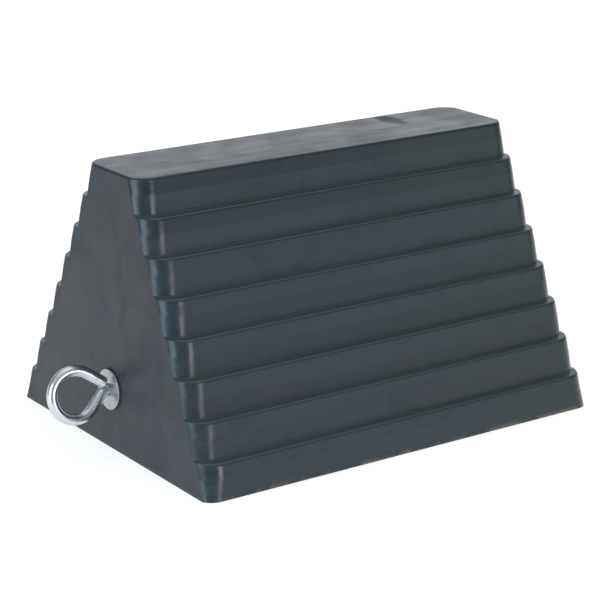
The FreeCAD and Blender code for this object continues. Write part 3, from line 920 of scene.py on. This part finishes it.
# %% Set the rubber's sheen and relief
sheen_map = rubber.math("ADD", rubber.remap(streaks, 0.3, 0.7, 0.20, 0.28),
                        rubber.remap(blotch, 0.3, 0.75, -0.03, 0.08))
sheen_map = rubber.math("ADD", sheen_map, rubber.math("MULTIPLY", top_side, 0.06))
sheen_map = rubber.math("ADD", sheen_map, rubber.math("MULTIPLY", end_side, 0.18))
sheen_map = rubber.math("ADD", sheen_map, rubber.math("MULTIPLY", smudge, 0.20))
rubber.link(sheen_map, rubber.shader.inputs["Roughness"])
rubber.shader.inputs["IOR"].default_value = 1.40

relief = rubber.bump(rubber.noise(11.0, 2.0, 0.4), 0.0010, 0.5)
relief = rubber.bump(streaks, 0.00010, 0.8, relief)
relief = rubber.bump(fine_streaks, 0.00003, 0.6, relief)
relief = rubber.bump(rubber.noise(1000.0, 2.0, 0.6), 0.00003, 0.6, relief)
rubber.link(relief, rubber.shader.inputs["Normal"])
rubber.put(block)
print("rubber nodes", len(rubber.tree.nodes))

# %% [markdown]
# ## Bright zinc on the bent wire
# Drawn wire keeps fine lines along its length. Zinc plating over them is bright, with a
# slightly milky patch here and there, and a few small dark nicks.
# Its lines follow the notes that the wire's leader left on the points.

# %% Make the wire's finish
wire = Finish("bright_zinc_wire")
wire.shader.inputs["Metallic"].default_value = 1.0
flow = wire.node("ShaderNodeAttribute", attribute_name="wire_flow").outputs["Vector"]
drawn = wire.noise(1.0, 3.0, 0.6, source=wire.stretched((0.05, 5.0, 5.0), source=flow))
milky = wire.noise(170.0, 3.0, 0.6)
metal = wire.colour(wire.remap(drawn, 0.35, 0.7), (0.67, 0.70, 0.74), (0.53, 0.56, 0.60))
metal = wire.colour(wire.remap(milky, 0.5, 0.75, 0.0, 0.5), metal, (0.72, 0.73, 0.74))
nicks = wire.remap(wire.spots(95.0), 0.035, 0.055, 1.0, 0.0)
metal = wire.colour(nicks, metal, (0.10, 0.07, 0.05))
wire.link(metal, wire.shader.inputs["Base Color"])
shine = wire.math("ADD", wire.remap(drawn, 0.3, 0.75, 0.23, 0.31),
                  wire.remap(milky, 0.4, 0.8, 0.0, 0.08))
wire.link(shine, wire.shader.inputs["Roughness"])
ripple = wire.bump(drawn, 0.000003, 0.4)
ripple = wire.bump(wire.noise(150.0, 2.0), 0.00003, 0.3, ripple)
wire.link(ripple, wire.shader.inputs["Normal"])
wire.put(bolt)
print("wire nodes", len(wire.tree.nodes))

# %% [markdown]
# ## Dull zinc on the washers and the nut
# Barrel plated parts knock against each other, so their zinc is greyer, finely mottled
# and a little scratched.


# %% Make the duller zinc
def dull_zinc(name, light, dark, roughness):
    zinc = Finish(name)
    zinc.shader.inputs["Metallic"].default_value = 1.0
    mottle = zinc.noise(520.0, 4.0, 0.65, warp=0.6)
    cloud = zinc.noise(120.0, 3.0, 0.6)
    metal = zinc.colour(zinc.remap(mottle, 0.36, 0.66), light, dark)
    metal = zinc.colour(zinc.remap(cloud, 0.45, 0.7, 0.0, 0.45), metal, light)
    zinc.link(metal, zinc.shader.inputs["Base Color"])
    shine = zinc.remap(mottle, 0.3, 0.75, roughness, roughness + 0.16)
    zinc.link(shine, zinc.shader.inputs["Roughness"])
    grain = zinc.bump(mottle, 0.00006, 0.6)
    grain = zinc.bump(zinc.noise(2200.0, 2.0), 0.00002, 0.6, grain)
    zinc.link(grain, zinc.shader.inputs["Normal"])
    return zinc


washer_zinc = dull_zinc("dull_zinc_washer", (0.46, 0.47, 0.48), (0.34, 0.35, 0.37), 0.28)
washer_zinc.put(front_washer)
washer_zinc.put(pocket_washer)
nut_zinc = dull_zinc("dull_zinc_nut", (0.70, 0.71, 0.73), (0.55, 0.56, 0.58), 0.27)
nut_zinc.put(nut)
print("zinc nodes", len(washer_zinc.tree.nodes), len(nut_zinc.tree.nodes))

# %% [markdown]
# ## Nylon
# The locking ring is natural nylon: milky, slightly yellow, with a waxy shine.

# %% Make the nylon
nylon = Finish("natural_nylon")
cloudy = nylon.noise(400.0, 3.0)
milk = nylon.colour(cloudy, (0.74, 0.72, 0.64), (0.84, 0.83, 0.77))
nylon.link(milk, nylon.shader.inputs["Base Color"])
nylon.link(nylon.remap(cloudy, 0.3, 0.7, 0.34, 0.46), nylon.shader.inputs["Roughness"])
nylon.link(nylon.bump(nylon.noise(1500.0), 0.00002, 0.5), nylon.shader.inputs["Normal"])
nylon.put(nylon_ring)
print("nylon nodes", len(nylon.tree.nodes))

# %% [markdown]
# ## The floor
# The block stands on a plain white floor, a tenth of a millimetre below it so that the
# two surfaces never meet. The floor has a painted glow round the block, a pool of light that fades
# further out.

# %% Lay the floor
floor_mesh = bmesh.new()
bmesh.ops.create_grid(floor_mesh, x_segments=1, y_segments=1, size=12.0)
bmesh.ops.translate(floor_mesh, verts=floor_mesh.verts, vec=(0, 0, -0.1 * MM))
floor_data = bpy.data.meshes.new("studio_floor")
floor_mesh.to_mesh(floor_data)
floor_mesh.free()
studio_floor = bpy.data.objects.new("studio_floor", floor_data)
bpy.context.scene.collection.objects.link(studio_floor)
paper = Finish("white_paper")
paper.shader.inputs["Base Color"].default_value = (0.55, 0.55, 0.55, 1.0)
paper.shader.inputs["Roughness"].default_value = 0.9
paper.shader.inputs["Specular IOR Level"].default_value = 0.1
paper.shader.inputs["Emission Color"].default_value = (1.0, 1.0, 1.0, 1.0)
# Painted light: the floor's emission is strongest near the block and fades with distance.
middle = paper.stretched((1.0, 1.0, 1.0), place=(-0.45, -0.65, 0.0))
reach = paper.node("ShaderNodeVectorMath", operation="LENGTH")
paper.link(middle, reach.inputs[0])
painted_floor_glow = paper.remap(reach.outputs["Value"], 0.9, 2.2, 0.70, 0.05)
paper.link(painted_floor_glow, paper.shader.inputs["Emission Strength"])
paper.put(studio_floor)
print("floor", [round(v, 1) for v in studio_floor.dimensions])


# %% [markdown]
# ## The lights
# A bluish card stands off the end with the eye. A small bright box stands in front of the
# long side and a wide dim one beside it. A large box hangs above, and a wide card behind
# gives the flat top its pale sheen. A weak sun and a pale world lift the shadows.


# %% Hang the lights
def soft_box(name, place, aim, width, height, radiance, colour):
    """A rectangular light whose surface has the given brightness."""
    data = bpy.data.lights.new(name, "AREA")
    data.shape = "RECTANGLE"
    data.size = width
    data.size_y = height
    data.energy = radiance * math.pi * width * height
    data.color = colour
    lamp = bpy.data.objects.new(name, data)
    lamp.location = place
    lamp.rotation_euler = (Vector(aim) - Vector(place)).to_track_quat("-Z", "Y").to_euler()
    lamp.visible_camera = False
    bpy.context.scene.collection.objects.link(lamp)
    print(name, round(data.energy, 1), "watts")


soft_box("end_card", (-0.86, -0.15, 0.26), (-0.12, -0.09, 0.1), 0.40, 0.5, 5.3, (0.72, 0.87, 1.0))
soft_box("front_strip", (0.02, -1.70, 0.22), (-0.1, 0, 0.1), 0.50, 0.44, 7.2, (1.0, 0.93, 0.97))
soft_box("front_fill", (1.5, -2.2, 0.34), (0, 0, 0.1), 2.4, 0.68, 1.0, (0.84, 0.95, 1.0))
soft_box("top_box", (0.25, 0.35, 1.7), (0.15, 0.25, 0), 1.6, 1.8, 0.8, (1.0, 1.0, 1.0))
soft_box("back_card", (1.6, 2.4, 0.75), (0, 0, 0.15), 4.0, 1.5, 0.86, (0.93, 0.96, 1.0))

sun_data = bpy.data.lights.new("even_daylight", "SUN")
sun_data.energy = 0.45
sun_data.angle = math.radians(80)
sun = bpy.data.objects.new("even_daylight", sun_data)
sun.rotation_euler = (math.radians(12), math.radians(-8), 0)
bpy.context.scene.collection.objects.link(sun)

world = bpy.data.worlds.new("studio")
bpy.context.scene.world = world
world.use_nodes = True
background = world.node_tree.nodes["Background"]
background.inputs["Color"].default_value = (0.92, 0.965, 1.0, 1.0)
background.inputs["Strength"].default_value = 0.30
bpy.context.scene.view_settings.view_transform = "Standard"
bpy.context.scene.view_settings.look = "None"
